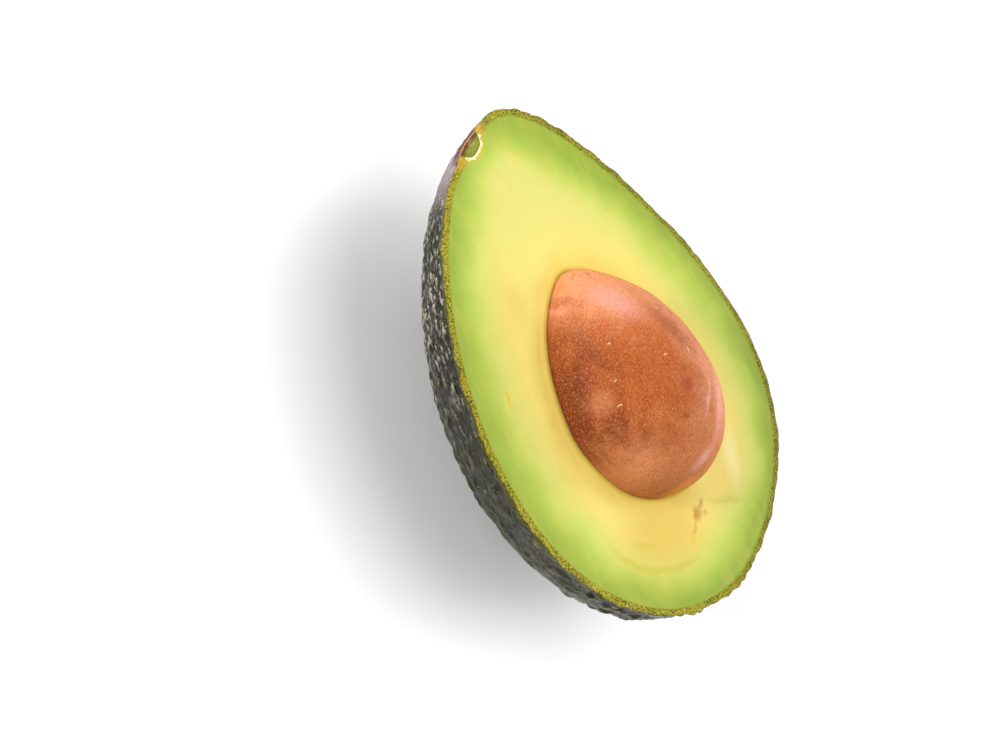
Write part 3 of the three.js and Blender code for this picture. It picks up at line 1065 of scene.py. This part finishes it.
def seed_material(colours):
    """Brown seed coat, paler towards its point, with a thin film, reddish flecks and fine scurf. Its near side
    is darker as painted shade, partly the coat's own browner tone, and its far side is paler as painted light;
    the film patches are partly painted sheen.
    """
    material, tree, shader = new_material("avocado_seed", {"Specular IOR Level": 0.16})
    place = object_place(tree)
    along, across, _ = add_node(tree, "ShaderNodeSeparateXYZ", {"Vector": place}).outputs
    clouds = noise_texture(tree, object_place(tree, (1.5, 1, 1)), 6, 4, 0.6)
    drift = fit(tree, clouds, 0.3, 0.7, -3, 3)
    side = add(tree, across, drift)
    # Painted shade: darker towards the near side, partly the coat's own browner tone.
    base = mix(tree, fit(tree, side, -15, -4), colours.seed_shaded_side, colours.seed)
    # Painted light: paler towards the far side.
    base = mix(tree, fit(tree, side, 0, 12, 0, 0.75), base, colours.seed_light)
    length = add(tree, along, drift)
    base = mix(tree, fit(tree, length, 8, 20, 0, 0.9), base, colours.seed_low)
    towards_point = add(tree, length, fit(tree, across, -12, 0, 7, 0))
    base = mix(tree, fit(tree, towards_point, -14, 2, 1, 0), base, colours.seed_light)
    flecks = noise_texture(tree, place, 1.4, 6, 0.75)
    where = noise_texture(tree, place, 5, 2)
    dark = multiply(tree, fit(tree, flecks, 0.5, 0.62), fit(tree, where, 0.4, 0.62, 0.1, 0.35))
    base = mix(tree, dark, base, colours.seed_dark)
    base = paint_marks(tree, place, base, SEED_MARKS, colours)
    scurf = noise_texture(tree, object_place(tree, (1.4, 1, 1)), 0.32, 3, 0.7)
    scurfy = fit(tree, scurf, 0.48, 0.68, 0, fit(tree, where, 0.4, 0.6, 0.3, 0.4))
    base = mix(tree, scurfy, base, colours.seed_light)
    base = mix(tree, fit(tree, scurf, 0.5, 0.34, 0, 0.4), base, colours.seed_dark)
    normal = bump(tree, scurf, 0.09, bump(tree, flecks, 0.16))
    link(tree, shader, Base_Color=base, Roughness=fit(tree, clouds, 0.3, 0.7, 0.6, 0.45), Normal=normal)
    return material


# The photograph's viewpoint, from the middle of the cut face's outline.
CAMERA_PLACE = Vector((-37.6, -263.7, 341.0)) * MM
CAMERA_RIGHT = Vector((0.4086, 0.7283, 0.5502))
CAMERA_UP = Vector((-0.9097, 0.3743, 0.1801))
LENS_MM = 86.4
SENSOR_MM = 36

# Soft boxes: name, the direction that they shine from, distance and size in metres, and power in watts.
SOFT_BOXES = (
    ("top_box", (0.1, 0.3, 1), 1.2, 0.9, 8.0),
    ("side_box", (0.3, 0.9, 0.35), 0.9, 0.4, 3.2),
    ("front_box", (-0.5, -0.8, 0.26), 0.9, 0.25, 6.4),
    ("stem_box", (-0.95, -0.1, 0.16), 0.9, 0.2, 2.6),
)
WORLD_STRENGTH = 0.4
FLOOR_SIZE = 6
FLOOR_ROUGHNESS = 0.35


def build_camera():
    """The camera at the photograph's angle to the cut face."""
    camera = bpy.data.cameras.new("camera")
    camera.lens = LENS_MM
    camera.sensor_width = SENSOR_MM
    holder = bpy.data.objects.new("camera", camera)
    back = CAMERA_RIGHT.cross(CAMERA_UP)
    turn = Matrix((CAMERA_RIGHT, CAMERA_UP, back)).transposed().to_4x4()
    holder.matrix_world = Matrix.Translation(CAMERA_PLACE + Vector((0, 0, CUT_HEIGHT))) @ turn
    bpy.context.scene.collection.objects.link(holder)
    bpy.context.scene.camera = holder


def build_lights():
    """The soft boxes, aimed at the middle of the half, and an even white surround."""
    target = Vector((0, 0, CUT_HEIGHT))
    for name, direction, distance, size, power in SOFT_BOXES:
        light = bpy.data.lights.new(name, "AREA")
        light.shape = "SQUARE"
        light.size = size
        light.energy = power
        holder = bpy.data.objects.new(name, light)
        way = Vector(direction).normalized()
        turn = way.to_track_quat("Z", "Y").to_matrix().to_4x4()
        holder.matrix_world = Matrix.Translation(target + distance * way) @ turn
        bpy.context.scene.collection.objects.link(holder)
    world = bpy.data.worlds.new("surround")
    world.use_nodes = True
    background = world.node_tree.nodes["Background"]
    background.inputs["Color"].default_value = (1, 1, 1, 1)
    background.inputs["Strength"].default_value = WORLD_STRENGTH
    bpy.context.scene.world = world


def build_floor(colours):
    """The plain floor that the half lies on."""
    bm = bmesh.new()
    bmesh.ops.create_grid(bm, x_segments=1, y_segments=1, size=FLOOR_SIZE / 2)
    mesh = bpy.data.meshes.new("floor")
    bm.to_mesh(mesh)
    bm.free()
    shader_inputs = {"Base Color": (*colours.floor, 1), "Roughness": FLOOR_ROUGHNESS}
    material, _, _ = new_material("floor", shader_inputs)
    mesh.materials.append(material)
    floor = bpy.data.objects.new("floor", mesh)
    bpy.context.scene.collection.objects.link(floor)


class AVOCADO_OT_skin(Operator):
    """Build the pebbled skin with its cut rim and stem scar"""

    bl_idname = "avocado.skin"
    bl_label = "Skin"

    def execute(self, context):
        build_skin(context.scene.avocado_shape, context.scene.avocado_colours)
        return {"FINISHED"}


class AVOCADO_OT_flesh(Operator):
    """Build the flesh with its cut face and the hollow for the seed"""

    bl_idname = "avocado.flesh"
    bl_label = "Flesh"

    def execute(self, context):
        build_flesh(context.scene.avocado_shape, context.scene.avocado_colours)
        return {"FINISHED"}


class AVOCADO_OT_seed(Operator):
    """Build the seed"""

    bl_idname = "avocado.seed"
    bl_label = "Seed"

    def execute(self, context):
        build_seed(context.scene.avocado_shape, context.scene.avocado_colours)
        return {"FINISHED"}


class AVOCADO_OT_stage(Operator):
    """Build the floor, the lights and the camera"""

    bl_idname = "avocado.stage"
    bl_label = "Stage"

    def execute(self, context):
        build_camera()
        build_lights()
        build_floor(context.scene.avocado_colours)
        context.scene.view_settings.view_transform = "Standard"
        return {"FINISHED"}


class AVOCADO_PT_panel(Panel):
    """The sizes and colours, and the operators that build the half"""

    bl_label = "Avocado half"
    bl_space_type = "VIEW_3D"
    bl_region_type = "UI"
    bl_category = "Avocado"

    def draw(self, context):
        for group in (context.scene.avocado_shape, context.scene.avocado_colours):
            for name in group.__annotations__:
                self.layout.prop(group, name)
        for operator in OPERATORS:
            self.layout.operator(operator.bl_idname)


OPERATORS = (AVOCADO_OT_stage, AVOCADO_OT_skin, AVOCADO_OT_flesh, AVOCADO_OT_seed)
CLASSES = (AvocadoShape, AvocadoColours, *OPERATORS, AVOCADO_PT_panel)


def register():
    for cls in CLASSES:
        bpy.utils.register_class(cls)
    bpy.types.Scene.avocado_shape = PointerProperty(type=AvocadoShape)
    bpy.types.Scene.avocado_colours = PointerProperty(type=AvocadoColours)


def unregister():
    del bpy.types.Scene.avocado_colours
    del bpy.types.Scene.avocado_shape
    for cls in reversed(CLASSES):
        bpy.utils.unregister_class(cls)


def main():
    register()
    bpy.ops.avocado.stage()
    bpy.ops.avocado.skin()
    bpy.ops.avocado.flesh()
    bpy.ops.avocado.seed()


if __name__ == "__main__":
    main()
